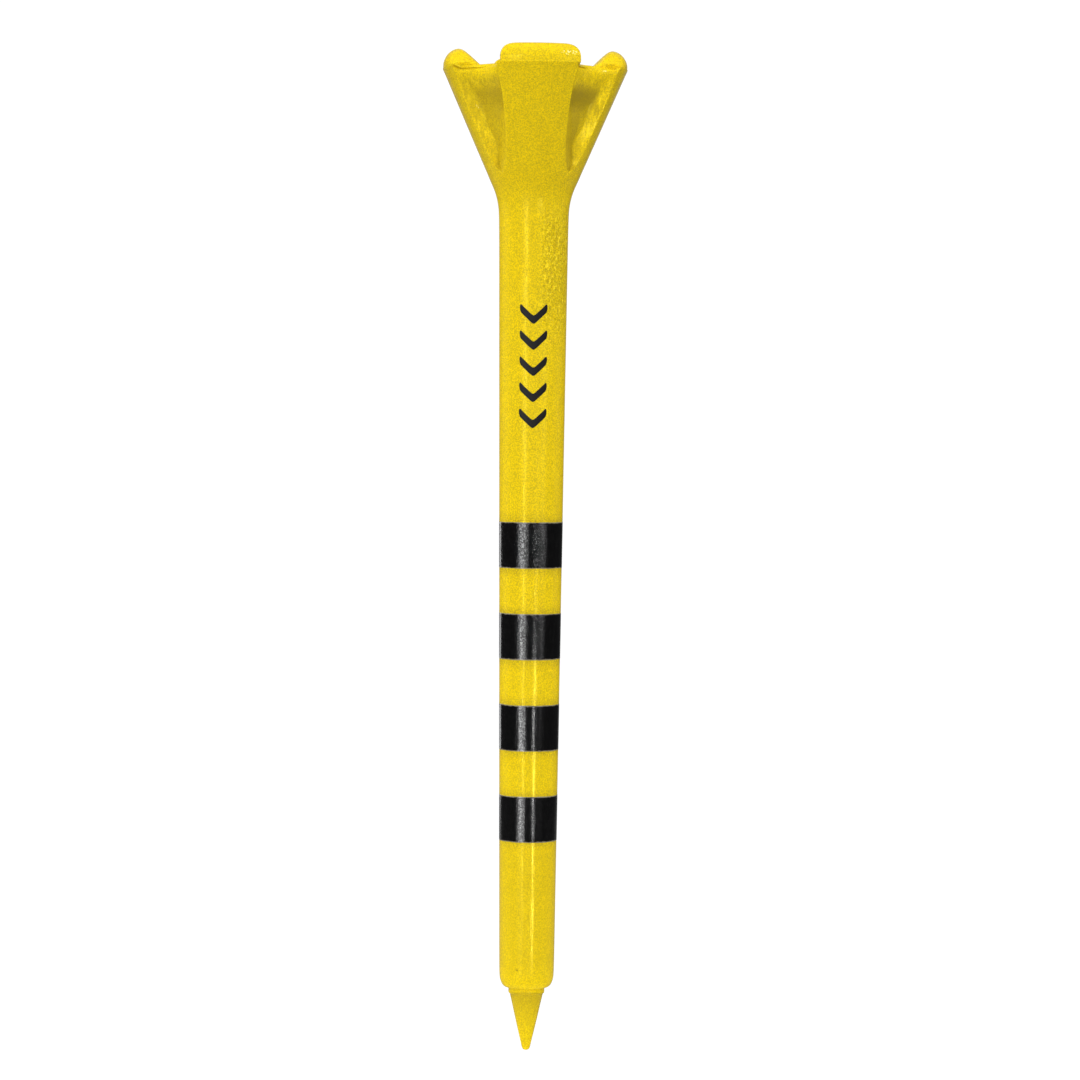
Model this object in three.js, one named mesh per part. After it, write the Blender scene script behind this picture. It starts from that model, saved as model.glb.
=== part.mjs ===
// Golf tee with a four-prong crown: one plastic moulding, four printed height
// bands and a row of five printed arrow marks. Units are millimetres, +Z is up.
// The origin is the end of the point, on the axis; the prongs face -Y (front),
// +X, +Y (back) and -X, and the arrows are on the front of the shank.
import * as THREE from 'three';

const { lerp, inverseLerp, clamp, degToRad, radToDeg } = THREE.MathUtils;

// ---- driving dimensions --------------------------------------------------
const LENGTH = 69.85;            // point to prong tips
const CROWN_RADIUS = 6.4;        // at the parting ridge
const RIDGE_Z = 68.48;           // parting ridge round the prongs
const RIDGE_EDGE_ANGLE = 25.5;   // degrees from a prong's middle to its edge there
const CONE_SLOPE = 0.4373;       // radius gained per unit of height on the crown
const FLARE_TOP_Z = 60.86;       // top of the round flare under the crown
const POCKET_FLOOR_Z = 61.2;     // lower end of the pockets between the prongs
const CUP_FLOOR_Z = 65.75;       // cup's lowest point, on the axis

const SHANK_R_TOP = 2.405;       // just under the flare
const SHANK_R_LOW = 1.91;        // just over the shoulder
const SHANK_Z_TOP = 57.9;
const SHANK_Z_LOW = 5.3;
const NECK_R = 1.25;             // top of the point, under the shoulder
const NECK_Z = 4.18;             // where the point's cone ends
const SHOULDER_Z = 4.45;         // flat ring under the shoulder
const SHOULDER_FLAT_R = 1.46;    // outer edge of that ring

// prong tops; widths are half widths, measured square to the prong's middle
const PRONG_HALF_W = CROWN_RADIUS * Math.sin(degToRad(RIDGE_EDGE_ANGLE));
const FLAT_HALF_W = 1.9;         // flat top of the front and back prongs
const CORNER_DROP = 0.74;        // fall of their rounded upper corners
const DOME_HALF_W = 1.1;         // flat top of the side prongs
const DOME_FALL = 0.55;          // drop of a side prong's top 1 mm outside that
const DOME_POWER = 1.3;          // how that drop grows with distance
const DOME_MIN_RISE = 0.03;      // least height of a side prong over its wall's foot
const TAPER_START_R = 5.3;       // inside this radius a prong narrows
const TAPER = 1.2;               // by this much on each side at the cup
const FOOT_ANGLE_OUT = 1.2;      // degrees a wall's foot lies past the prong's edge
const FOOT_ANGLE_CUP = 2.6;      // the same at the cup
const LAND_R_IN = 5.28;          // flat land on a prong's top
const LAND_R_OUT = 5.52;
const WEB_TOP_Z = 68.55;         // top of the web between the prongs
const CUP_R = 3.86;              // where the prongs and webs run into the cup

const INK_GAP = 0.012;           // between the moulding and a printed layer
const INK_THICK = 0.05;
const BAND_COUNT = 4;
const BAND_TOP_Z = 37.1;         // top edge of the highest height band
const BAND_PITCH = 6.355;
const BAND_WIDTH = 3.2;          // along Z
const ARROW_COUNT = 5;
const ARROW_TOP_Z = 52.25;       // top of the highest arrow's arms
const ARROW_PITCH = 1.8;
const ARROW_RISE = 0.85;         // from an arrow's point up to its arm ends
const ARROW_STROKE = 0.58;       // along Z
const ARROW_ARM_FACETS = 4;      // facets of the shank under each arm

// A quadrant runs from the middle of a front or back prong to the middle of a
// side prong. These are its vertices, as fractions along each stretch.
const FRONT_FACE = [0.36, 0.7, 0.9, 1];
const FRONT_WALL = [0.5, 1];
const FLOOR = [1 / 3, 2 / 3, 1];
const SIDE_WALL = [0.5, 1];
const SIDE_FACE = [0.1, 0.3, 0.64, 1];

// index of the vertex that ends each stretch
const FRONT_EDGE = FRONT_FACE.length;
const FRONT_FOOT = FRONT_EDGE + FRONT_WALL.length;
const SIDE_FOOT = FRONT_FOOT + FLOOR.length;
const SIDE_EDGE = SIDE_FOOT + SIDE_WALL.length;
const QUADRANT_END = SIDE_EDGE + SIDE_FACE.length;
const FACETS = 4 * QUADRANT_END;    // round the tee

// ---- measured stations ---------------------------------------------------
const shankRadius = (z) =>
  lerp(SHANK_R_LOW, SHANK_R_TOP, inverseLerp(SHANK_Z_LOW, SHANK_Z_TOP, z));
const crownRadius = (z) => CROWN_RADIUS - CONE_SLOPE * (RIDGE_Z - z);

// round part, from the point up to the crown: [z, radius]
const PROFILE = [
  [0.05, 0.17], [0.14, 0.25], [0.3, 0.295], [0.85, 0.41], [2.12, 0.705],
  [3.4, 0.995], [3.95, 1.14], [NECK_Z, NECK_R], [SHOULDER_Z, NECK_R],
  [SHOULDER_Z, SHOULDER_FLAT_R], [4.56, 1.6], [4.76, 1.745], [5.0, 1.845],
  [SHANK_Z_LOW, SHANK_R_LOW], [23, shankRadius(23)], [41, shankRadius(41)],
  [SHANK_Z_TOP, SHANK_R_TOP], [58.4, 2.42], [58.8, 2.445], [59.2, 2.5],
  [59.6, 2.59], [60.03, 2.71], [60.44, 2.88], [FLARE_TOP_Z, 3.07],
];

// Pockets between the prongs, upwards:
// [z, front prong's edge angle, angle of the foot of its wall, angle of the
//  foot of the side prong's wall, radius at both feet, radius half way between].
// Angles are in degrees from the front prong's middle.
const POCKET_BOTTOM_R = crownRadius(POCKET_FLOOR_Z);
const POCKET = [
  [POCKET_FLOOR_Z, 43.0, 44.6, 45.4, POCKET_BOTTOM_R, POCKET_BOTTOM_R],
  [61.35, 40.5, 46.6, 47.4, 3.16, 3.16],
  [61.55, 37.6, 50.2, 50.9, 3.17, 3.17],
  [61.85, 34.9, 52.7, 53.3, 3.2, 3.2],
  [62.45, 31.8, 52.2, 52.8, 3.22, 3.22],
  [63.1, 29.5, 50.4, 51.2, 3.24, 3.24],
  [63.7, 28.0, 42.5, 53.0, 3.58, 3.57],
  [64.3, 26.7, 39.6, 56.0, 3.89, 3.85],
  [64.9, 26.1, 37.0, 57.0, 4.08, 3.99],
  [65.5, 25.7, 33.6, 57.6, 4.2, 4.04],
  [66.05, 25.5, 31.6, 58.6, 4.43, 4.12],
  [66.5, 25.3, 30.4, 59.6, 4.76, 4.33],
  [66.85, 25.2, 29.7, 60.3, 5.05, 4.6],
  [67.15, 25.2, 29.1, 60.9, 5.3, 4.83],
  [67.5, 25.3, 28.5, 61.5, 5.56, 4.99],
  [67.9, 25.7, 28.1, 61.9, 5.84, 5.01],
  [68.2, 26.2, 28.0, 62.0, 5.97, 4.93],
];

// From the ridge over the prong tips and into the cup:
// [prong radius, prong z, wall foot radius, wall foot z, web radius, web z]
const CREST = [
  [CROWN_RADIUS, RIDGE_Z, 5.95, 68.26, 4.84, 68.3],
  [6.385, 68.78, 5.88, 68.31, 4.8, 68.36],
  [6.305, 69.1, 5.77, 68.35, 4.76, 68.41],
  [6.12, 69.45, 5.62, 68.39, 4.72, 68.45],
  [5.86, 69.69, 5.44, 68.43, 4.67, 68.49],
  [LAND_R_OUT, LENGTH, 5.24, 68.46, 4.62, 68.52],
  [LAND_R_IN, LENGTH, 5.07, 68.49, 4.56, 68.54],
  [5.08, 69.77, 4.91, 68.51, 4.5, WEB_TOP_Z],
  [4.8, 69.55, 4.68, 68.54, 4.4, WEB_TOP_Z],
  [4.35, 69.14, 4.29, 68.54, 4.21, 68.5],
  [CUP_R, 68.66, 3.86, 68.36, 3.87, 68.28],
];

// round cup, inwards and down: [radius, z]
const CUP = [[3.5, 67.88], [3.02, 67.22], [2.38, 66.56], [1.6, 66.08], [0.78, 65.82]];

// ---- rings of vertices ---------------------------------------------------
// Points in a quadrant are [across, ahead]: away from the front prong's middle,
// and from the axis towards that prong.
const polar = (degrees, radius) => {
  const angle = degToRad(degrees);
  return [radius * Math.sin(angle), radius * Math.cos(angle)];
};

// the side prong's edge mirrors the front prong's
function quadrant({ prongR, edgeAngle, frontFoot, sideFoot, footR, middleR }) {
  const sideEdge = 90 - edgeAngle;
  const face = (from, to) => (t) => polar(lerp(from, to, t), prongR);
  const wall = (from, to) => (t) => [lerp(from[0], to[0], t), lerp(from[1], to[1], t)];
  const floor = (t) =>
    polar(lerp(frontFoot, sideFoot, t), lerp(middleR, footR, (2 * t - 1) ** 2));
  return [
    polar(0, prongR),
    ...FRONT_FACE.map(face(0, edgeAngle)),
    ...FRONT_WALL.map(wall(polar(edgeAngle, prongR), polar(frontFoot, footR))),
    ...FLOOR.map(floor),
    ...SIDE_WALL.map(wall(polar(sideFoot, footR), polar(sideEdge, prongR))),
    ...SIDE_FACE.map(face(sideEdge, 90)),
  ];
}

// the whole ring from one quadrant, by mirroring in both vertical planes
function ring(points, heightAt) {
  const place = (signX, signAhead) => ([across, ahead], i) =>
    [signX * across, -signAhead * ahead, heightAt(i)];
  const outward = (signX, signAhead) =>
    points.map(place(signX, signAhead)).slice(0, -1);
  const returning = (signX, signAhead) =>
    points.map(place(signX, signAhead)).slice(1).reverse();
  return [
    ...outward(1, 1),         // front to +X
    ...returning(1, -1),      // +X to back
    ...outward(-1, -1),       // back to -X
    ...returning(-1, 1),      // -X to front
  ];
}

// vertex angles at the bottom of the pockets, in degrees
const [, BOTTOM_EDGE, BOTTOM_FRONT_FOOT, BOTTOM_SIDE_FOOT] = POCKET[0];
const CROWN_ANGLES = quadrant({
  prongR: 1,
  edgeAngle: BOTTOM_EDGE,
  frontFoot: BOTTOM_FRONT_FOOT,
  sideFoot: BOTTOM_SIDE_FOOT,
  footR: 1,
  middleR: 1,
}).map(([across, ahead]) => radToDeg(Math.atan2(across, ahead)));

// ease 0 spaces the vertices evenly, 1 puts them at the crown's angles
function roundRing(z, radius, ease = 0) {
  const points = CROWN_ANGLES.map((crownAngle, i) =>
    polar(lerp((90 * i) / QUADRANT_END, crownAngle, ease), radius));
  return ring(points, () => z);
}

function profileRing([z, radius]) {
  return roundRing(z, radius, clamp(inverseLerp(SHANK_Z_TOP, FLARE_TOP_Z, z), 0, 1));
}

function pocketRing([z, edgeAngle, frontFoot, sideFoot, footR, middleR]) {
  const prongR = crownRadius(z);
  const points = quadrant({ prongR, edgeAngle, frontFoot, sideFoot, footR, middleR });
  return ring(points, () => z);
}

function crestRing([prongR, prongZ, footR, footZ, webR, webZ]) {
  // straight sides at first, closing in towards the cup
  const inward = Math.max(0, inverseLerp(TAPER_START_R, CUP_R, prongR));
  const halfWidth = PRONG_HALF_W - TAPER * inward;
  const edgeAngle = radToDeg(Math.asin(halfWidth / prongR));
  const frontFoot = edgeAngle + lerp(FOOT_ANGLE_OUT, FOOT_ANGLE_CUP, inward);
  const sideFoot = 90 - frontFoot;
  const points = quadrant({ prongR, edgeAngle, frontFoot, sideFoot, footR, middleR: webR });

  const frontTop = (offset) => {
    const over = clamp(inverseLerp(FLAT_HALF_W, halfWidth, offset), 0, 1);
    return Math.min(prongZ, LENGTH - CORNER_DROP * (1 - Math.sqrt(1 - over * over)));
  };
  // the dome grows from nothing at the ridge to its full fall at the land
  const domeShare = prongR > LAND_R_OUT ? inverseLerp(RIDGE_Z, LENGTH, prongZ) : 1;
  const sideTop = (offset) => {
    const fall = DOME_FALL * Math.max(0, offset - DOME_HALF_W) ** DOME_POWER;
    return Math.max(footZ + DOME_MIN_RISE, prongZ - domeShare * fall);
  };

  return ring(points, (i) => {
    const [across, ahead] = points[i];
    if (i <= FRONT_EDGE) return frontTop(across);
    if (i < FRONT_FOOT) return (frontTop(halfWidth) + footZ) / 2;
    if (i >= SIDE_EDGE) return sideTop(ahead);
    if (i > SIDE_FOOT) return (sideTop(halfWidth) + footZ) / 2;
    return i === FRONT_FOOT || i === SIDE_FOOT ? footZ : webZ;
  });
}

// ---- meshing -------------------------------------------------------------
// triangles over a grid of vertices; a span past the last row or column wraps
function stitch(rows, rowSpans, columnSpans) {
  const columns = rows[0].length;
  const id = (row, column) => (row % rows.length) * columns + (column % columns);
  const triangles = [];
  for (let i = 0; i < rowSpans; i++) {
    for (let j = 0; j < columnSpans; j++) {
      const opposite = id(i + 1, j + 1);
      triangles.push(id(i, j), id(i, j + 1), opposite);
      triangles.push(id(i, j), opposite, id(i + 1, j));
    }
  }
  return triangles;
}

function solid(points, triangles) {
  const geometry = new THREE.BufferGeometry();
  geometry.setAttribute('position', new THREE.Float32BufferAttribute(points.flat(), 3));
  geometry.setIndex(triangles);
  geometry.computeVertexNormals();
  return geometry;
}

// ---- pieces --------------------------------------------------------------
// rings from the point to the cup, closed with a fan at either end
function teeBody() {
  const rings = [
    ...PROFILE.map(profileRing),
    ...POCKET.map(pocketRing),
    ...CREST.map(crestRing),
    ...CUP.map(([radius, z]) => roundRing(z, radius)),
  ];
  const triangles = stitch(rings, rings.length - 1, FACETS);
  const lastRing = (rings.length - 1) * FACETS;
  const pointEnd = rings.length * FACETS;
  const cupFloor = pointEnd + 1;
  for (let j = 0; j < FACETS; j++) {
    const next = (j + 1) % FACETS;
    triangles.push(pointEnd, next, j);
    triangles.push(cupFloor, lastRing + j, lastRing + next);
  }
  return solid([...rings.flat(), [0, 0, 0], [0, 0, CUP_FLOOR_Z]], triangles);
}

// the four corners [radius, z] of a printed layer's section on the shank
function inkSection(zLow, height) {
  const zHigh = zLow + height;
  const innerLow = shankRadius(zLow) + INK_GAP;
  const innerHigh = shankRadius(zHigh) + INK_GAP;
  return [
    [innerLow + INK_THICK, zLow],
    [innerHigh + INK_THICK, zHigh],
    [innerHigh, zHigh],
    [innerLow, zLow],
  ];
}

// a printed sleeve on the shank's own facets
function heightBand(zTop) {
  const rings = inkSection(zTop - BAND_WIDTH, BAND_WIDTH)
    .map(([radius, z]) => roundRing(z, radius));
  return solid(rings.flat(), stitch(rings, rings.length, FACETS));
}

// a printed V, its tip towards the tee's point, wrapped on the shank's facets
function arrowMark(zTip) {
  const rows = [[], [], [], []];    // one for each corner of the section
  for (let facet = -ARROW_ARM_FACETS; facet <= ARROW_ARM_FACETS; facet++) {
    const zLow = zTip + (ARROW_RISE * Math.abs(facet)) / ARROW_ARM_FACETS;
    inkSection(zLow, ARROW_STROKE).forEach(([radius, z], corner) => {
      const [across, ahead] = polar((360 * facet) / FACETS, radius);
      rows[corner].push([across, -ahead, z]);
    });
  }
  const columnSpans = 2 * ARROW_ARM_FACETS;
  const triangles = stitch(rows, rows.length, columnSpans);
  const [a, b, c, d] = rows.map((row, corner) => corner * row.length);
  const end = columnSpans;          // from a start corner to the same one at the far end
  triangles.push(a, b, c, a, c, d);
  triangles.push(a + end, c + end, b + end, a + end, d + end, c + end);
  return solid(rows.flat(), triangles);
}

// ---- assembly ------------------------------------------------------------
const yellow = new THREE.MeshStandardMaterial({ color: 0xe8c81a, roughness: 0.35 });
const ink = new THREE.MeshStandardMaterial({ color: 0x111214, roughness: 0.3 });
const group = new THREE.Group();
group.name = 'golf_tee';

function add(name, geometry, material) {
  const mesh = new THREE.Mesh(geometry, material);
  mesh.name = name;
  group.add(mesh);
}

add('tee_body', teeBody(), yellow);
for (let i = 0; i < BAND_COUNT; i++) {
  add(`height_band_${i + 1}`, heightBand(BAND_TOP_Z - i * BAND_PITCH), ink);
}
for (let i = 0; i < ARROW_COUNT; i++) {
  const zTip = ARROW_TOP_Z - ARROW_RISE - ARROW_STROKE - i * ARROW_PITCH;
  add(`arrow_mark_${i + 1}`, arrowMark(zTip), ink);
}

export default group;
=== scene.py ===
"""Looks of a golf tee with a four-pronged crown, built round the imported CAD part.

The tee stands on its point: its axis is Z, with the tip at z = 0. Front is -Y, where the
camera stands, and right is +X. Shapes are in millimetres; the stage is in metres.
"""
from math import asin, atan2, cos, degrees, pi, radians, sin, sqrt

import bpy
import numpy as np
from mathutils import Matrix, Vector


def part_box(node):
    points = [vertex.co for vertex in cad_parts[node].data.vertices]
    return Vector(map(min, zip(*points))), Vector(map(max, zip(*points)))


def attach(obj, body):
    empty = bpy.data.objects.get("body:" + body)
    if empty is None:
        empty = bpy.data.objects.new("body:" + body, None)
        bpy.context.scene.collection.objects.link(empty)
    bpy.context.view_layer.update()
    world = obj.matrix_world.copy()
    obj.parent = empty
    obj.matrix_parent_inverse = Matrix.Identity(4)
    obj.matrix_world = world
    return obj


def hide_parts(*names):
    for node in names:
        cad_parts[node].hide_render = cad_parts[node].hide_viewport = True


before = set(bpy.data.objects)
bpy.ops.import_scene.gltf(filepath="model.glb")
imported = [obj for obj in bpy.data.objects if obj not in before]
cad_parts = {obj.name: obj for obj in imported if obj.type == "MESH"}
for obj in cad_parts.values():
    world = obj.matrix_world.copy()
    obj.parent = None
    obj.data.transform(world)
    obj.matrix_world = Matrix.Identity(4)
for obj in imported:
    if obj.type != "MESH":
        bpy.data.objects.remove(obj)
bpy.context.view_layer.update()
MM = 0.001


def lerp(start, end, share):
    return start + (end - start) * share


def clamp(value):
    return min(1.0, max(0.0, value))


# ---------------------------------------------------------------- dimensions
LENGTH = 69.85
CROWN_R, RIDGE_Z = 6.43, 68.48      # widest radius of the prongs, and its height
CONE_SLOPE = 0.4373                 # radius gained per height on the cone of the prongs
TIP_TURN = 2.3                      # mould mismatch: degrees the tips are turned on the cone
SHANK_R_LOW, SHANK_Z_LOW = 1.916, 5.3
SHANK_R_TOP, SHANK_Z_TOP = 2.41, 57.9
PRONG_HALF_WIDTH = 2.74
CREST_INNER_R = 5.3                 # inside this radius the prongs narrow toward the cup
UNDER_CREST = 0.035                 # a ring this far below the crest keeps its edge tight

INK_IN, INK_OUT = 0.001, 0.011      # height of the ink's inner and outer faces off the shank
BANDS = [tuple(v.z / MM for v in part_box(f"height_band_{i + 1}")) for i in range(4)]


def shank_radius(z):
    return lerp(SHANK_R_LOW, SHANK_R_TOP, (z - SHANK_Z_LOW) / (SHANK_Z_TOP - SHANK_Z_LOW))


def cone_radius(z):
    return CROWN_R - CONE_SLOPE * (RIDGE_Z - z)


# Round stations from the tip to the neck: z, radius, samples up to the next row
PROFILE = [
    # point
    [0.0, 0.0, 3], [0.03, 0.16, 3], [0.12, 0.255, 3], [0.28, 0.305, 3], [0.6, 0.375, 2],
    [1.3, 0.54, 2], [2.12, 0.735, 2], [3.0, 0.93, 2], [3.6, 1.065, 2], [3.88, 1.13, 2],
    # collar
    [3.99, 1.155, 3], [4.03, 1.17, 3], [4.05, 1.215, 3], [4.075, 1.25, 3], [4.12, 1.258, 3],
    [4.2, 1.26, 2], [4.36, 1.262, 3], [4.44, 1.265, 3], [4.475, 1.275, 3], [4.49, 1.31, 3],
    [4.495, 1.4, 3], [4.505, 1.49, 3], [4.54, 1.575, 3], [4.62, 1.67, 2], [4.77, 1.765, 2],
    [4.98, 1.845, 2], [5.26, 1.898, 2],
    # shank
    *[[z, shank_radius(z), samples] for z, samples in (
        (5.8, 3), (9.0, 3), (16.0, 4), (24.0, 4), (32.0, 4), (40.0, 4), (48.0, 4),
        (54.0, 3), (57.2, 3))],
    # neck
    [58.4, 2.43, 2], [58.8, 2.455, 2], [59.2, 2.51, 2], [59.6, 2.6, 2], [60.03, 2.73, 2],
    [60.44, 2.91, 2], [60.86, 3.11, 3],
]
# Hollows between the prongs: z, then in degrees from the front the prong's edge and the
# hollow's first and second corner, then radius of the corners and of the hollow's middle
# (0 = on the cone)
HOLLOW = [
    [61.2, 43.0, 44.6, 45.4, 0, 0],
    [61.35, 40.5, 46.6, 47.4, 3.16, 3.16],
    [61.55, 37.6, 50.2, 50.9, 3.17, 3.17],
    [61.85, 34.9, 52.7, 53.3, 3.2, 3.2],
    [62.45, 31.8, 52.2, 52.8, 3.22, 3.22],
    [63.1, 29.5, 50.4, 51.2, 3.24, 3.24],
    [63.7, 28.0, 42.5, 53.0, 3.58, 3.57],
    [64.3, 26.7, 39.6, 56.0, 3.89, 3.85],
    [64.9, 26.1, 37.0, 57.0, 4.08, 3.99],
    [65.5, 25.7, 33.6, 57.6, 4.2, 4.04],
    [66.05, 25.5, 31.6, 58.6, 4.43, 4.12],
    [66.5, 25.3, 30.4, 59.6, 4.76, 4.33],
    [66.85, 25.2, 29.7, 60.3, 5.05, 4.6],
    [67.15, 25.2, 29.1, 60.9, 5.3, 4.83],
    [67.5, 25.3, 28.5, 61.5, 5.56, 4.99],
    [67.9, 25.7, 28.1, 61.9, 5.84, 5.01],
    [68.2, 26.2, 28.0, 62.0, 5.97, 4.93],
]
# Crest, from outside over the prongs and inward: radius and z of the prongs, of the
# hollows' corners and of the hollows' middle
CREST_EDGE = [CROWN_R, RIDGE_Z, 5.95, 68.26, 4.84, 68.3]
CREST_LIP = [
    [6.395, 68.5, 5.93, 68.265, 4.84, 68.305],
    [6.4, 68.54, 5.92, 68.27, 4.83, 68.31],
]
CREST = [
    [6.415, 68.78, 5.88, 68.31, 4.8, 68.36],
    [6.335, 69.1, 5.77, 68.35, 4.76, 68.41],
    [6.14, 69.45, 5.62, 68.39, 4.72, 68.45],
    [5.87, 69.7, 5.44, 68.43, 4.67, 68.49],
    [5.52, 69.86, 5.24, 68.46, 4.62, 68.52],
    [5.28, 69.86, 5.07, 68.49, 4.56, 68.54],
    [5.08, 69.78, 4.91, 68.51, 4.5, 68.55],
    [4.8, 69.57, 4.68, 68.54, 4.4, 68.55],
    [4.35, 69.14, 4.29, 68.54, 4.21, 68.5],
    [3.86, 68.66, 3.86, 68.36, 3.87, 68.28],
]
# Cup inside the crown: radius, z
CUP = [
    [3.5, 67.88], [3.02, 67.22], [2.38, 66.56], [1.6, 66.08], [0.78, 65.82], [0.3, 65.76],
    [0.0, 65.75],
]
# Columns of a quarter ring, from the front round to a side: share along each span
SPANS = {
    "front prong": [0.25, 0.5, 0.68, 0.82, 0.92, 0.98, 1.0],
    "front flank": [0.12, 0.5, 0.88, 1.0],
    "web": [0.1, 0.35, 0.65, 0.9, 1.0],
    "side flank": [0.12, 0.5, 0.88, 1.0],
    "side prong": [0.02, 0.08, 0.18, 0.32, 0.5, 0.75, 1.0],
}
COLUMNS = [("front prong", 0.0)] + [(span, share) for span in SPANS for share in SPANS[span]]
QUARTER = len(COLUMNS) - 1


# ---------------------------------------------------------------- rings of the moulding
def quarter_outline(prong_r, edge, corner_1, corner_2, corner_r, web_r):
    """Places [sideways, frontward] of a quarter ring; angles in degrees from the front."""
    def at(angle, radius):
        return np.array([radius * sin(radians(angle)), radius * cos(radians(angle))])

    front_edge, side_edge = at(edge, prong_r), at(90 - edge, prong_r)
    front_corner, side_corner = at(corner_1, corner_r), at(corner_2, corner_r)
    place = {
        "front prong": lambda t: at(edge * t, prong_r),
        "front flank": lambda t: lerp(front_edge, front_corner, t),
        "web": lambda t: at(lerp(corner_1, corner_2, t), lerp(web_r, corner_r, (2 * t - 1) ** 2)),
        "side flank": lambda t: lerp(side_corner, side_edge, t),
        "side prong": lambda t: at(lerp(90 - edge, 90, t), prong_r),
    }
    return np.array([place[span](share) for span, share in COLUMNS])


def full_ring(quarter, heights):
    """Mirrors a quarter into a ring, counter-clockwise from the front seen from above."""
    away, back = range(QUARTER), range(QUARTER, 0, -1)
    quarters = ((away, 1, -1), (back, 1, 1), (away, -1, 1), (back, -1, -1))
    return np.array([(sign_x * quarter[i][0], sign_y * quarter[i][1], heights[i])
                     for order, sign_x, sign_y in quarters for i in order])


# Angles of the columns where the prongs begin
PRONG_ANGLES = [degrees(atan2(x, y)) for x, y in quarter_outline(1, *HOLLOW[0][1:4], 1, 1)]


def round_ring(z, radius, gather=0.0):
    """A circle; gather moves its columns from even spacing to that of the prongs."""
    quarter = []
    for i in range(QUARTER + 1):
        angle = radians(lerp(90 * i / QUARTER, PRONG_ANGLES[i], gather))
        quarter.append((radius * sin(angle), radius * cos(angle)))
    return full_ring(quarter, [z] * (QUARTER + 1))


def turned(points):
    """Turns a ring counter-clockwise about the axis by the mould mismatch."""
    c, s = cos(radians(TIP_TURN)), sin(radians(TIP_TURN))
    out = points.copy()
    out[:, 0] = c * points[:, 0] - s * points[:, 1]
    out[:, 1] = s * points[:, 0] + c * points[:, 1]
    return out


def crest_ring(prong_r, prong_z, corner_r, corner_z, web_r, web_z):
    narrowing, corner_gap = 1.25, (1.2, 2.6)    # mm, and degrees at the outside and inside
    flat_half, round_drop = 1.9, 0.84           # front prong: flat part, rounding of its ends
    top_sink, top_hollow = 0.05, 0.008          # front prong: top lowered, and dished
    side_lift, side_curve, least_rise = 0.01, 0.155, 0.03

    inner = max(0.0, (CREST_INNER_R - prong_r) / (CREST_INNER_R - CREST[-1][0]))
    half = PRONG_HALF_WIDTH - narrowing * inner
    edge = degrees(asin(half / prong_r))
    corner = edge + lerp(*corner_gap, inner)
    quarter = quarter_outline(prong_r, edge, corner, 90 - corner, corner_r, web_r)
    share = clamp((prong_z - RIDGE_Z) / (LENGTH - RIDGE_Z)) if prong_r > CREST_INNER_R else 1.0

    def flat_top(x):
        """Front and back prongs: flat top, rounded corners."""
        over = clamp((x - flat_half) / max(0.05, half - flat_half))
        return min(prong_z - top_sink * share + top_hollow * x * x * share,
                   LENGTH - top_sink - round_drop * (1 - sqrt(1 - over * over)))

    def dome(y):
        """Side prongs: rounded right across."""
        return max(corner_z + least_rise, prong_z + side_lift - share * side_curve * y * y)

    height = {
        "front prong": lambda t, x, y: flat_top(x),
        "front flank": lambda t, x, y: lerp(flat_top(half), corner_z, t),
        "web": lambda t, x, y: lerp(web_z, corner_z, (2 * t - 1) ** 4),
        "side flank": lambda t, x, y: lerp(corner_z, dome(half), t),
        "side prong": lambda t, x, y: dome(y),
    }
    return full_ring(quarter, [height[span](t, *point)
                               for (span, t), point in zip(COLUMNS, quarter)])


def moulding_stations():
    """Control rings from the tip, up over the crest, to the bottom of the cup."""
    stations = []
    neck_top = PROFILE[-1][0]
    for z, radius, samples in PROFILE:
        gather = clamp((z - SHANK_Z_TOP) / (neck_top - SHANK_Z_TOP))
        stations.append((round_ring(z, radius, gather), samples))
    for z, edge, corner_1, corner_2, corner_r, web_r in HOLLOW:
        cone = cone_radius(z)
        quarter = quarter_outline(cone, edge, corner_1, corner_2, corner_r or cone, web_r or cone)
        stations.append((full_ring(quarter, [z] * len(quarter)), 3))
    crest_edge = crest_ring(*CREST_EDGE)
    below = crest_edge.copy()
    below[:, 2] -= UNDER_CREST
    stations += [(below, 2), (crest_edge, 2)]
    stations += [(turned(crest_ring(*row)), 2) for row in CREST_LIP]
    stations += [(turned(crest_ring(*row)), 3) for row in CREST]
    stations += [(turned(round_ring(z, radius)), 3) for radius, z in CUP]
    return stations


# ---------------------------------------------------------------- spline surface
def basis(t):
    """Weights of a uniform cubic B-spline."""
    return np.array([(1 - t) ** 3, 3 * t ** 3 - 6 * t ** 2 + 4,
                     -3 * t ** 3 + 3 * t ** 2 + 3 * t + 1, t ** 3]) / 6


def open_weights(count, samples):
    """Weights of an open spline whose ends lie on the first and last row."""
    out = []
    for i in range(count - 1):
        for k in range(samples[i]):
            weights = np.zeros(count)
            for j, share in enumerate(basis(k / samples[i])):
                row = i - 1 + j
                if row < 0:
                    weights[0] += 2 * share
                    weights[1] -= share
                elif row >= count:
                    weights[count - 1] += 2 * share
                    weights[count - 2] -= share
                else:
                    weights[row] += share
            out.append(weights)
    last = np.zeros(count)
    last[-1] = 1
    return np.array(out + [last])


def loop_weights(count, samples):
    """Weights of a closed spline."""
    out = []
    for i in range(count):
        for k in range(samples):
            weights = np.zeros(count)
            for j, share in enumerate(basis(k / samples)):
                weights[(i - 1 + j) % count] += share
            out.append(weights)
    return np.array(out)


# ---------------------------------------------------------------- meshes
def grid_faces(rows, cols, close_rows=False, close_cols=True):
    faces = []
    for i in range(rows if close_rows else rows - 1):
        for j in range(cols if close_cols else cols - 1):
            this, above, beside = i * cols, (i + 1) % rows * cols, (j + 1) % cols
            faces.append((this + j, this + beside, above + beside, above + j))
    return faces


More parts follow.
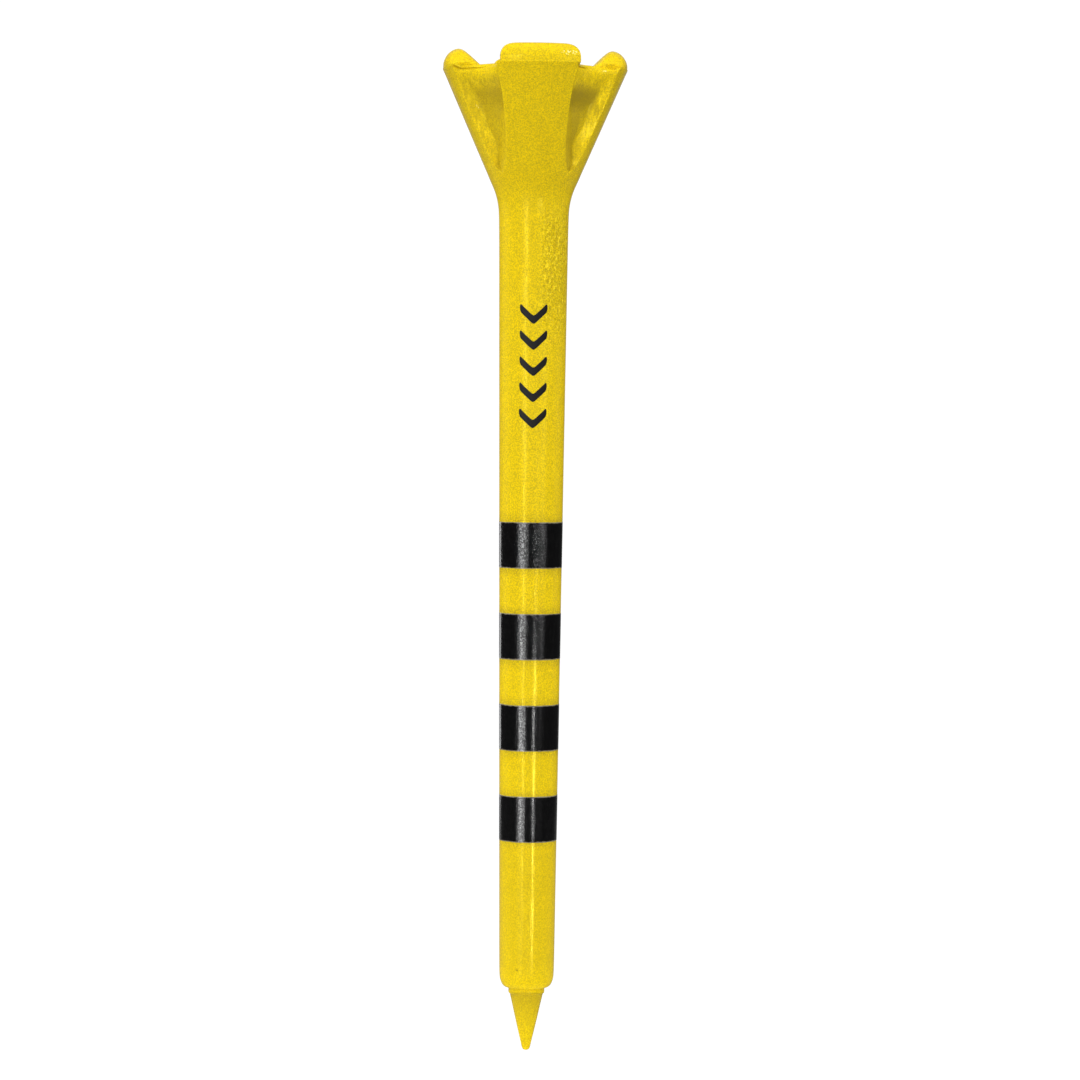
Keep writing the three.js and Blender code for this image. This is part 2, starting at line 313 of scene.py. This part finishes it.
def make_object(name, verts, faces, material):
    """A smooth-shaded mesh object from places in metres."""
    mesh = bpy.data.meshes.new(name)
    mesh.from_pydata(verts, [], faces)
    mesh.validate()
    mesh.polygons.foreach_set("use_smooth", [True] * len(mesh.polygons))
    mesh.materials.append(material)
    mesh.update()
    ob = bpy.data.objects.new(name, mesh)
    bpy.context.scene.collection.objects.link(ob)
    return ob


def add_piece(name, verts, faces, material, node):
    """A piece of the tee, from places in millimetres."""
    ob = make_object(name, [[c * MM for c in v] for v in verts], faces, material)
    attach(ob, "root")
    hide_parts(node)
    return ob


# ---------------------------------------------------------------- node networks
class Signal:
    """An output of a shader node; arithmetic on it makes Math nodes."""

    def __init__(self, net, socket):
        self.net, self.socket = net, socket

    def calc(self, operation, *values):
        return self.net.signal("Math", dict(enumerate(values)), operation=operation)

    def __add__(self, other):
        return self.calc("ADD", self, other)

    def __radd__(self, other):
        return self.calc("ADD", other, self)

    def __sub__(self, other):
        return self.calc("SUBTRACT", self, other)

    def __rsub__(self, other):
        return self.calc("SUBTRACT", other, self)

    def __mul__(self, other):
        return self.calc("MULTIPLY", self, other)

    def __abs__(self):
        return self.calc("ABSOLUTE", self)

    def sqrt(self):
        return self.calc("SQRT", self)

    def max(self, other):
        return self.calc("MAXIMUM", self, other)

    def rise(self, start, end):
        """0 below start, 1 above end, smooth between."""
        return self.net.signal("MapRange", {"Value": self, "From Min": start, "From Max": end},
                               "Result", interpolation_type="SMOOTHSTEP")

    def fall(self, start, end):
        """1 below start, 0 above end, smooth between."""
        return 1.0 - self.rise(start, end)


class Net:
    """Writes a node tree."""

    def __init__(self, tree):
        self.tree = tree

    def fill(self, node, inputs):
        """Gives a node's inputs signals or plain values."""
        for key, value in inputs.items():
            if isinstance(value, Signal):
                self.tree.links.new(value.socket, node.inputs[key])
            else:
                node.inputs[key].default_value = value

    def node(self, kind, inputs=None, **settings):
        node = self.tree.nodes.new("ShaderNode" + kind)
        for key, value in settings.items():
            setattr(node, key, value)
        self.fill(node, inputs or {})
        return node

    def signal(self, kind, inputs=None, output=0, **settings):
        return Signal(self, self.node(kind, inputs, **settings).outputs[output])

    def split(self, vector):
        """The x, y and z of a vector."""
        node = self.node("SeparateXYZ", {0: vector})
        return [Signal(self, socket) for socket in node.outputs]

    def scaled(self, vector, scale):
        return self.signal("Mapping", {"Vector": vector, "Scale": scale}, "Vector")

    def noise(self, vector, scale, detail=2, rough=0.5):
        inputs = {"Vector": vector, "Scale": scale, "Detail": detail, "Roughness": rough}
        return self.signal("TexNoise", inputs, "Fac", noise_dimensions="3D")

    def ripple(self, vector, scale, depth, detail=2, rough=0.5, middle=0.5):
        """Noise swinging about zero."""
        return (self.noise(vector, scale, detail, rough) - middle) * depth

    def mix(self, share, first, second):
        """A blend of two colours."""
        return self.signal("Mix", {0: share, 6: first, 7: second}, 2, data_type="RGBA")

    def spot(self, vector, centre, radii):
        """1 at centre, 0 outside the ellipsoid; sizes in millimetres."""
        offset = self.signal("VectorMath", {0: vector, 1: centre}, operation="SUBTRACT")
        share = self.signal("VectorMath", {0: offset, 1: radii}, operation="DIVIDE")
        distance = self.signal("VectorMath", {0: share}, "Value", operation="LENGTH")
        return distance.fall(start=0.0, end=1.0)


def new_material(name):
    material = bpy.data.materials.new(name)
    material.use_nodes = True
    material.node_tree.nodes.clear()
    net = Net(material.node_tree)
    return material, net, net.node("OutputMaterial")


def glossy_material(name):
    """A Principled material, with object places in millimetres."""
    material, net, output = new_material(name)
    bsdf = net.node("BsdfPrincipled")
    net.fill(output, {0: Signal(net, bsdf.outputs[0])})
    places = net.scaled(net.signal("TexCoord", output="Object"), (1000, 1000, 1000))
    return material, net, bsdf, places


def flow_lines(net, places):
    """Relief drawn out along the tee."""
    return net.ripple(net.scaled(places, (3.2, 3.2, 0.22)), scale=1.0, detail=3, rough=0.6,
                      depth=0.012)


def set_relief(net, bsdf, height):
    """Bump from a height in millimetres."""
    bump = net.signal("Bump", {"Distance": MM, "Strength": 1.0, "Height": height})
    net.fill(bsdf, {"Normal": bump})


# ---------------------------------------------------------------- yellow plastic
YELLOW_DEEP = (0.80, 0.58, 0.006, 1)
YELLOW_LIGHT = (0.85, 0.617, 0.0065, 1)
GRAIN = (0.505, 0.363, 0.0125, 1)
# painted glints and shade specks on the pebbled patch
PEBBLE_GLINT, PEBBLE_SHADE = (1.0, 0.78, 0.03, 1), (0.40, 0.285, 0.012, 1)
# painted highlight and shade streaks on the prongs' sides
STREAK_HIGHLIGHT, STREAK_SHADE = (1.0, 0.76, 0.02, 1), (0.34, 0.245, 0.014, 1)
TAN = (0.45, 0.27, 0.03, 1)
# painted shade colour; the ink's haze beside the bands uses it too
SHADE_AND_HAZE = (0.30, 0.215, 0.016, 1)
# painted glint colour for small bright specks
GLINT_COLOUR = (1.0, 0.93, 0.42, 1)

# Places: centre, radii
TAN_SPOTS = [((-2.02, -0.35, 20.6), (0.25, 0.6, 0.3)), ((-1.95, -0.42, 13.6), (0.35, 0.7, 0.32))]
# places of the painted glints
GLINT_SPOTS = [
    ((2.25, -5.9, 69.1), (0.85, 1.0, 0.22)),        # front tip
    ((4.7, -2.2, 68.1), (0.4, 1.2, 0.2)),           # right tip
    ((-4.0, -2.4, 65.75), (0.16, 1.5, 0.25)),       # front left hollow
]
PIT = (-0.72, -1.76, 5.88)
# sizes of the painted shade in the pit, and of the pit's dent
PIT_SHADE_RADII, PIT_RADII = (0.13, 0.4, 0.1), (0.13, 0.4, 0.12)
TICK = ((0.29, -4.77, 64.75), (0.045, 0.3, 0.2))

# How far each area goes toward the painted shade colour, 0 to 1: painted shade under the crest, in
# the corners, on the low shank, in the pit and on the point, and the ink's haze
SHADE_AND_HAZE_SHARE = {"under": 0.25, "nook": 0.7, "low shank": 0.18, "pit": 0.95, "point": 0.47,
           "ink haze": 0.85}
# Painted shade on the crown's webs, high and low, and on the flanks, as the amount at the left and
# what the right adds
WEB_HIGH, WEB_LOW, FLANK = (0.5, 0.3), (0.3, -0.22), (0.2, 0.35)
# painted shade on the left sides of the prongs
CHEEK_SHADE_LEFT = 0.27
HAZE_REACH = 0.75


def spots_mask(net, places, spots):
    mask = net.spot(places, *spots[0])
    for spot in spots[1:]:
        mask = mask.max(net.spot(places, *spot))
    return mask


def painted_light_marks(net, base, mask, noise, light, dark):
    """Painted highlight and shade marks; each is noise start, noise end, strength and colour."""
    start, end, strength, colour = light
    base = net.mix(mask * noise.rise(start, end) * strength, base, colour)
    start, end, strength, colour = dark
    return net.mix(mask * noise.fall(start, end) * strength, base, colour)


def mottled_yellow(net, places, z):
    """Even yellow with faint mottling, and a grain that grows upward."""
    mottle = net.noise(places, scale=1.1, detail=3, rough=0.55)
    base = net.mix(mottle.rise(start=0.35, end=0.65), YELLOW_DEEP, YELLOW_LIGHT)
    grain = net.noise(places, scale=10.5, detail=3, rough=0.7).rise(start=0.36, end=0.64)
    grain = grain * (0.8 + z.rise(start=15.0, end=40.0) * 0.2)
    return net.mix(grain, base, GRAIN)


def shank_patch(x, y, z):
    """A patch high on the right of the shank, toward the front."""
    patch = x.rise(start=0.1, end=1.0) * (
        z.rise(start=47.5, end=53.5) * z.fall(start=57.0, end=60.0))
    return patch * y.fall(start=-1.0, end=0.6)


def crown_painted_shade(net, places, x, y, z):
    """How much painted shade the crown gets, and the mask of the prongs' sides."""
    crown = z.rise(start=59.5, end=61.5)
    # painted shade under the crest, and in the corners
    normal_z = net.split(net.signal("NewGeometry", output="Normal"))[2]
    under = (normal_z * -1.0).rise(start=0.43, end=0.62) * crown
    open_sky = net.signal("AmbientOcclusion", {"Distance": 0.0028}, "AO",
                          samples=8, only_local=True)
    nook = open_sky.fall(start=0.35, end=0.95) * crown
    nook = nook * z.fall(start=67.7, end=68.1)
    shade = (under * SHADE_AND_HAZE_SHARE["under"]).max(nook * SHADE_AND_HAZE_SHARE["nook"])

    # depth of the surface behind the cone the prongs lie on
    side, fore = abs(x), abs(y)
    radius = (x * x + y * y).sqrt()
    depth = (z * CONE_SLOPE + (CROWN_R - CONE_SLOPE * RIDGE_Z)) - radius
    right = x.rise(start=-1.0, end=1.0)
    crown = crown * depth.fall(start=1.45, end=1.8)     # not inside the cup

    # painted shade on the webs changes with height at a wavering line
    web = depth.rise(start=0.5, end=0.85) * (crown * z.fall(start=66.45, end=67.5))
    sway = net.ripple(places, scale=1.6, detail=3, rough=0.6, depth=1.6)
    high = (z + sway).rise(start=64.4, end=66.1)
    web_high = high * (WEB_HIGH[0] + right * WEB_HIGH[1])
    web_low = (1.0 - high) * (WEB_LOW[0] - right * -WEB_LOW[1])
    shade = shade.max(web * (web_high + web_low))

    # painted shade on the flanks of the front and back prongs
    flank = depth.rise(start=0.03, end=0.16) * (side - fore * 1.2).fall(start=-0.15, end=0.1)
    flank = flank * (crown * z.fall(start=64.8, end=66.2))
    shade = shade.max(flank * (FLANK[0] + right * FLANK[1]))

    # painted shade on the sides of the prongs, heavier on the left
    cheek = depth.rise(start=0.04, end=0.16) * crown * (1.0 - web)
    cheek = cheek * z.fall(start=67.3, end=67.9)
    left_high = (1.0 - right) * z.rise(start=64.0, end=65.5) * CHEEK_SHADE_LEFT
    return shade.max(cheek * left_high), cheek, fore


def shank_shade_and_haze(net, places, shade, z, fore):
    """Adds painted shade on the low shank, in the pit and on the point, and the ink's haze, to the
    shade.
    """
    # painted shade on the low shank
    low = z.fall(start=10.0, end=26.0) * z.rise(start=5.0, end=6.5)
    shade = shade.max(low * SHADE_AND_HAZE_SHARE["low shank"])
    # painted shade in the pit
    shade = shade.max(net.spot(places, PIT, PIT_SHADE_RADII) * SHADE_AND_HAZE_SHARE["pit"])
    # painted shade below the collar on the point, clearing toward its tip
    collar_z = z - fore * 0.2
    point = z.rise(start=0.4, end=4.6) * collar_z.fall(start=4.0, end=4.04)
    shade = shade.max(point * SHADE_AND_HAZE_SHARE["point"])
    # a haze of ink on the plastic next to each band
    haze = net.noise(places, scale=8.0, detail=3, rough=0.7).rise(start=0.3, end=0.75)
    for z_low, z_high in BANDS:
        half = (z_high - z_low) / 2
        near = abs(z - (z_low + z_high) / 2).fall(start=half, end=half + HAZE_REACH)
        shade = shade.max(near * haze * SHADE_AND_HAZE_SHARE["ink haze"])
    return shade


def plastic_relief(net, places, z, patch):
    """Orange peel, a pebbled patch, flow lines, a pit and a tick, in millimetres."""
    upper = 0.22 + z.rise(start=24.0, end=50.0) * 0.78
    peel = net.ripple(places, scale=4.4, depth=0.017) * upper
    fine = net.ripple(places, scale=11.0, depth=0.006) * upper
    pebble = net.noise(net.scaled(places, (1.0, 1.0, 0.75)), scale=5.2, rough=0.55)
    pebble_height = 0.06
    peel = peel + patch * pebble.rise(start=0.4, end=0.62) * pebble_height
    flow = flow_lines(net, places)
    pit_height, tick_height = -0.05, -0.03
    pit = net.spot(places, PIT, PIT_RADII) * pit_height
    tick = net.spot(places, *TICK) * tick_height
    return (peel + fine) + (flow + (pit + tick))


def yellow_plastic():
    material, net, bsdf, places = glossy_material("yellow_plastic")
    x, y, z = net.split(places)

    base = mottled_yellow(net, places, z)
    patch = shank_patch(x, y, z)
    # painted glints and shade specks on the pebbled patch
    pebble_light_noise = net.noise(net.scaled(places, (1.0, 1.0, 0.75)), scale=5.6, rough=0.6)
    base = painted_light_marks(net, base, patch, pebble_light_noise, light=(0.55, 0.66, 0.75, PEBBLE_GLINT),
                   dark=(0.34, 0.45, 0.5, PEBBLE_SHADE))
    # tan spots on the left of the shank
    spots = spots_mask(net, places, TAN_SPOTS)
    speck = net.noise(places, scale=5.5, rough=0.6).rise(start=0.52, end=0.62)
    tan_strength = 0.55
    base = net.mix(spots * speck * tan_strength, base, TAN)

    shade, cheek, fore = crown_painted_shade(net, places, x, y, z)
    # painted highlight and shade streaks on the sides of the prongs
    strands = net.noise(net.scaled(places, (4.6, 4.6, 1.0)), scale=1.0, detail=3, rough=0.6)
    base = painted_light_marks(net, base, cheek, strands, light=(0.53, 0.68, 0.6, STREAK_HIGHLIGHT),
                   dark=(0.33, 0.47, 0.5, STREAK_SHADE))
    shade = shank_shade_and_haze(net, places, shade, z, fore)
    # mix in the painted shade and the ink's haze
    base = net.mix(shade, base, SHADE_AND_HAZE)

    # painted glints: small bright specks
    glint_noise = net.noise(places, scale=8.0, rough=0.6).rise(start=0.56, end=0.64)
    glint_mask = spots_mask(net, places, GLINT_SPOTS).rise(start=0.0, end=0.4) * glint_noise
    base = net.mix(glint_mask, base, GLINT_COLOUR)

    gleam = net.noise(places, scale=9.0, rough=0.6).rise(start=0.42, end=0.68)
    smear = net.noise(places, scale=2.4, detail=3, rough=0.6).rise(start=0.3, end=0.7)
    net.fill(bsdf, {
        "Base Color": base,
        "IOR": 1.49,
        "Specular IOR Level": 0.2 + gleam * 0.45,
        "Specular Tint": (1.0, 0.82, 0.1, 1),
        "Subsurface Weight": 0.12,
        "Subsurface Radius": (1.0, 0.7, 0.12),
        "Subsurface Scale": 0.0006,
        "Roughness": 0.13 + smear * 0.09,
    })
    set_relief(net, bsdf, plastic_relief(net, places, z, patch))
    return material


# ---------------------------------------------------------------- black ink
INK_DARK, INK_LIGHT = (0.0022, 0.0022, 0.0024, 1), (0.0036, 0.0035, 0.0036, 1)
INK_MATT, INK_THIN = (0.011, 0.0105, 0.0115, 1), (0.33, 0.29, 0.2, 1)
MATT_SHARE, THIN_SHARE = 0.5, 0.6
THIN_WIDTH = 0.09


def black_ink(name, band=None):
    """Glossy ink that thins at a band's low and high edge, or matt ink without a band."""
    material, net, bsdf, places = glossy_material(name)
    z = net.split(places)[2]
    cloud = net.noise(places, scale=3.0, detail=3, rough=0.6).rise(start=0.4, end=0.7)
    colour = net.mix(cloud, INK_DARK, INK_LIGHT)
    if band:
        z_low, z_high = band
        waver = net.ripple(net.scaled(places, (1, 1, 0.3)), scale=3.4, detail=3, rough=0.65,
                           middle=0.45, depth=0.16)
        low = (z - z_low - waver).fall(start=0.0, end=THIN_WIDTH)
        high = (z - z_high + waver).rise(start=-THIN_WIDTH, end=0.0)
        colour = net.mix(low.max(high) * THIN_SHARE, colour, INK_THIN)
        gleam = net.noise(places, scale=9.0, rough=0.6).rise(start=0.38, end=0.66)
        finish = {"Roughness": 0.17, "Specular IOR Level": 0.22 + gleam * 0.6}
    else:
        colour = net.mix(MATT_SHARE, colour, INK_MATT)
        finish = {"Roughness": 0.55, "Specular IOR Level": 0.12}
    net.fill(bsdf, {"Base Color": colour, "IOR": 1.5, **finish})
    peel = net.ripple(places, scale=5.0, depth=0.011)
    peel = peel + net.ripple(places, scale=13.0, depth=0.010)
    peel = peel * (0.3 + z.rise(start=22.0, end=34.0) * 0.7)
    set_relief(net, bsdf, peel + flow_lines(net, places))
    return material


# ---------------------------------------------------------------- moulding
def add_moulding():
    rings, samples = zip(*moulding_stations())
    control = np.array(rings)                       # rows, columns, xyz
    along = open_weights(len(control), samples)
    around = loop_weights(control.shape[1], 3)
    surface = np.einsum("ij,jkc,lk->ilc", along, control, around)

    # the end rows are single points
    rows, cols = surface.shape[0] - 2, surface.shape[1]
    verts = surface[1:-1].reshape(-1, 3).tolist()
    tip, cup_bottom = len(verts), len(verts) + 1
    verts += [surface[0].mean(0).tolist(), surface[-1].mean(0).tolist()]
    faces = grid_faces(rows, cols)
    last_row = (rows - 1) * cols
    for j in range(cols):
        beside = (j + 1) % cols
        faces.append((tip, beside, j))
        faces.append((cup_bottom, last_row + j, last_row + beside))
    return add_piece("tee_moulding", verts, faces, yellow_plastic(), "tee_body")


body = add_moulding()

# ---------------------------------------------------------------- printed marks
rng = np.random.default_rng(11)
INK_SHOULDER = INK_OUT * 0.6        # height of the ink's edge before it rounds over
INK_ROUND = 0.02                    # width of that rounding
BAND_WAVE = 0.014                   # how far a band's edges waver


def on_shank(angle, z, height):
    """A place at a height off the shank; angle in radians from the front toward +X."""
    radius = shank_radius(z) + height
    return (radius * sin(angle), -radius * cos(angle), z)


def soft_wave(count, amount, terms=7):
    angle = np.linspace(0, 2 * pi, count, endpoint=False)
    out = np.zeros(count)
    for k in range(1, terms + 1):
        out += sqrt(1.0 / k) * np.sin(k * angle * 2 + rng.uniform(0, 6.28)) * rng.uniform(0.4, 1)
    return out / np.abs(out).max() * amount


def add_band(number, z_low, z_high):
    """A printed ring with wavering edges."""
    count = 240
    low_wave, high_wave = soft_wave(count, BAND_WAVE), soft_wave(count, BAND_WAVE)
    # cross-section from the inner low edge over the outside to the inner high edge:
    # share of the way up the band, offset in z, height off the shank
    section = [(0, 0.0, INK_IN), (0, 0.0, INK_SHOULDER), (0, INK_ROUND, INK_OUT), (0, 0.1, INK_OUT)]
    section += [(share, 0.0, INK_OUT) for share in (0.2, 0.4, 0.6, 0.8)]
    section += [(1, -offset, height) for _, offset, height in section[3::-1]]
    verts = []
    for share, offset, height in section:
        for j in range(count):
            low, high = z_low + low_wave[j], z_high + high_wave[j]
            z = (high if share == 1 else lerp(low, high, share)) + offset
            verts.append(on_shank(2 * pi * j / count, z, height))
    faces = grid_faces(len(section), count, close_rows=True)
    name = f"height_band_print_{number}"
    ink = black_ink(name + "_ink", (z_low, z_high))
    return add_piece(name, verts, faces, ink, f"height_band_{number}")


def add_arrow(number, z_point, material):
    """A rounded arrow head pointing down, wrapped on the front of the shank."""
    half_width, stroke, rise = 0.98, 0.58, 0.85
    point_round, end_round, end_share = 0.09, 0.12, 0.06
    count, jitter = 49, 0.003
    verts = []
    for j in range(count):
        across = half_width * sin(pi / 2 * (2 * j / (count - 1) - 1))
        soft = sqrt(across * across + point_round ** 2) - point_round
        end = clamp((abs(across) - (half_width - end_round)) / end_round)
        width = stroke * (end_share + (1 - end_share) * sqrt(max(0.0, 1 - end ** 2)))
        middle = (z_point + stroke / 2 + rise * soft / (half_width - point_round)
                  + rng.normal(0, jitter))
        half, bevel = width / 2, min(INK_ROUND, width / 4)
        # offset in z, height off the shank
        section = [(-half, INK_IN), (-half, INK_SHOULDER), (-half + bevel, INK_OUT),
                   (-width / 6, INK_OUT), (width / 6, INK_OUT), (half - bevel, INK_OUT),
                   (half, INK_SHOULDER), (half, INK_IN)]
        for offset, height in section:
            z = middle + offset
            verts.append(on_shank(across / shank_radius(z), z, height))
    size = len(section)
    faces = [(a, d, c, b) for a, b, c, d in grid_faces(count, size)]
    faces.append(tuple(range(size)))
    faces.append(tuple((count - 1) * size + k for k in range(size - 1, -1, -1)))
    return add_piece(f"arrow_print_{number}", verts, faces, material,
                     f"arrow_mark_{number}")


prints = [add_band(i + 1, *BANDS[i]) for i in range(4)]
mark_ink = black_ink("mark_ink")
for number in range(1, 6):
    z_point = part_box(f"arrow_mark_{number}")[0].z / MM
    prints.append(add_arrow(number, z_point, mark_ink))


# ---------------------------------------------------------------- studio floor
def stage_material(name, seen, floor_glow, wall_glow):
    """White to the camera; what it throws on the object is set apart, floor and wall."""
    material, net, output = new_material(name)
    diffuse = net.signal("BsdfDiffuse", {"Color": (0.06, 0.06, 0.06, 1)})
    z = net.split(net.signal("TexCoord", output="Object"))[2]
    wall = z.rise(start=-0.02, end=0.12)
    path = net.node("LightPath")
    to_camera = Signal(net, path.outputs["Is Camera Ray"])
    glossy = Signal(net, path.outputs["Is Glossy Ray"])
    glossy_loss = 0.6
    thrown = floor_glow + wall * (wall_glow - floor_glow)
    thrown = thrown * (1.0 - glossy * glossy_loss)
    level = to_camera * seen + (1.0 - to_camera) * thrown
    glow = net.signal("Emission", {"Strength": level})
    net.fill(output, {0: net.signal("AddShader", {0: diffuse, 1: glow})})
    return material


def add_floor():
    """Floor that turns up into a backdrop behind, in metres."""
    width, y_front, y_back = 0.5, -0.08, 0.65
    floor_z, height, bend, bend_steps = -0.03, 0.6, 0.25, 12
    line = [(y_front, floor_z), (y_back - bend, floor_z)]
    for k in range(1, bend_steps + 1):
        angle = pi / 2 * k / bend_steps
        line.append((y_back - bend + bend * sin(angle), floor_z + bend * (1 - cos(angle))))
    line.append((y_back, floor_z + height))
    verts = [(side * width / 2, y, z) for y, z in line for side in (-1, 1)]
    material = stage_material("studio_white", seen=1.0, floor_glow=0.3, wall_glow=0.5)
    make_object("studio_floor", verts, grid_faces(len(line), 2, close_cols=False),
                         material)


add_floor()

# ---------------------------------------------------------------- lights
CAMERA_AZIMUTH = -1.6       # degrees from the front toward +X


def add_light(name, azimuth, elevation, distance, width, height, radiance, roll=0.0,
              aim=(0, 0, 0.036), glossy=False, receivers=None):
    """An area light that makes only sheen (glossy) or only plain shading.

    Azimuth is counted from the camera toward +X; angles in degrees, sizes in metres.
    """
    turn, lift = radians(azimuth + CAMERA_AZIMUTH), radians(elevation)
    back = Vector((sin(turn) * cos(lift), -cos(turn) * cos(lift), sin(lift)))
    data = bpy.data.lights.new(name, "AREA")
    data.shape = "RECTANGLE"
    data.size, data.size_y = width, height
    data.energy = radiance * pi * width * height
    ob = bpy.data.objects.new(name, data)
    bpy.context.scene.collection.objects.link(ob)
    ob.location = Vector(aim) + back * distance
    ob.rotation_mode = "QUATERNION"
    spin = Matrix.Rotation(radians(roll), 3, "Z").to_quaternion()
    ob.rotation_quaternion = back.to_track_quat("Z", "Y") @ spin
    ob.visible_glossy = glossy
    ob.visible_diffuse = not glossy
    if receivers:
        ob.light_linking.receiver_collection = receivers
    return ob


def collect(name, pieces):
    group = bpy.data.collections.new(name)
    for piece in pieces:
        group.objects.link(piece)
    return group


inked = collect("inked", prints)
bare = collect("bare", [body])

# name, azimuth, elevation, distance, width, height, radiance, roll, what it falls on
SHEEN_LIGHTS = [
    ("sheen_left", -28, 3, 0.5, 0.23, 0.62, 5.6, -3, inked),
    ("sheen_left_line", -30, 3, 0.5, 0.03, 0.62, 9.0, -3, inked),
    ("rim_left", -148, 0, 0.4, 0.1, 0.5, 2.2, 0, inked),
    ("body_sheen_left", -30, 3, 0.5, 0.2, 0.62, 1.6, -3, bare),
    ("body_line_left", -23, 12.5, 0.5, 0.011, 0.34, 58.0, -3, bare),
    ("body_line_right", 21, -9.5, 0.5, 0.01, 0.058, 230.0, 0, bare),
    ("body_line_low", -21, -9.5, 0.5, 0.012, 0.055, 38.0, 0, bare),
    ("sheen_right_line", 18.5, -9.5, 0.5, 0.013, 0.045, 75.0, 0, inked),
    ("sheen_right", 43, 12.5, 0.5, 0.17, 0.28, 3.8, 0, None),
]
# name, azimuth, elevation, distance, width, height, radiance
SHADING_LIGHTS = [
    ("shade_front", -6, 6, 0.5, 0.4, 0.6, 4.25),
    ("shade_left", -112, 22, 0.5, 0.4, 0.6, 4.0),
    ("shade_right", 108, 22, 0.5, 0.4, 0.6, 3.25),
    ("top", 0, 84, 0.4, 0.5, 0.4, 2.7),
]
for *shape, receivers in SHEEN_LIGHTS:
    add_light(*shape, glossy=True, receivers=receivers)
for shape in SHADING_LIGHTS:
    add_light(*shape)
# light thrown back by the white floor close under the point
floor_light = add_light("floor_light", azimuth=0, elevation=-90, distance=0.026, width=0.05,
                        height=0.05, radiance=1.6, aim=(0, 0, 0))
floor_light.visible_camera = False


def set_world():
    """White to the camera, nearly dark to the object."""
    ambient, seen_extra = 0.03, 0.965
    world = bpy.data.worlds.new("studio")
    world.use_nodes = True
    net = Net(world.node_tree)
    to_camera = net.signal("LightPath", output="Is Camera Ray")
    net.fill(world.node_tree.nodes["Background"],
             {0: (1, 1, 1, 1), 1: ambient + to_camera * seen_extra})
    bpy.context.scene.world = world


set_world()


# ---------------------------------------------------------------- camera
def add_camera():
    distance, eye_height, shift = 237.155, 44.505, 0.648    # mm; shift is to the right
    turn, pitch, roll = radians(CAMERA_AZIMUTH), radians(2.098), radians(0.56)
    right = Vector((cos(turn), sin(turn), 0))
    forward = Vector((-sin(turn) * cos(pitch), cos(turn) * cos(pitch), -sin(pitch)))
    up = Vector((-sin(turn) * sin(pitch), cos(turn) * sin(pitch), cos(pitch)))
    place = Vector((distance * sin(turn), -distance * cos(turn), eye_height)) + right * shift
    columns = (right * cos(roll) + up * sin(roll), up * cos(roll) - right * sin(roll),
               -forward, [v * MM for v in place])
    data = bpy.data.cameras.new("camera")
    data.sensor_width = 36
    data.lens = 113.333
    data.clip_start, data.clip_end = 0.01, 10
    camera = bpy.data.objects.new("camera", data)
    bpy.context.scene.collection.objects.link(camera)
    rows = [[column[k] for column in columns] for k in range(3)]
    camera.matrix_world = Matrix(rows + [[0, 0, 0, 1]])
    bpy.context.scene.camera = camera


add_camera()
bpy.context.scene.view_settings.view_transform = "Standard"
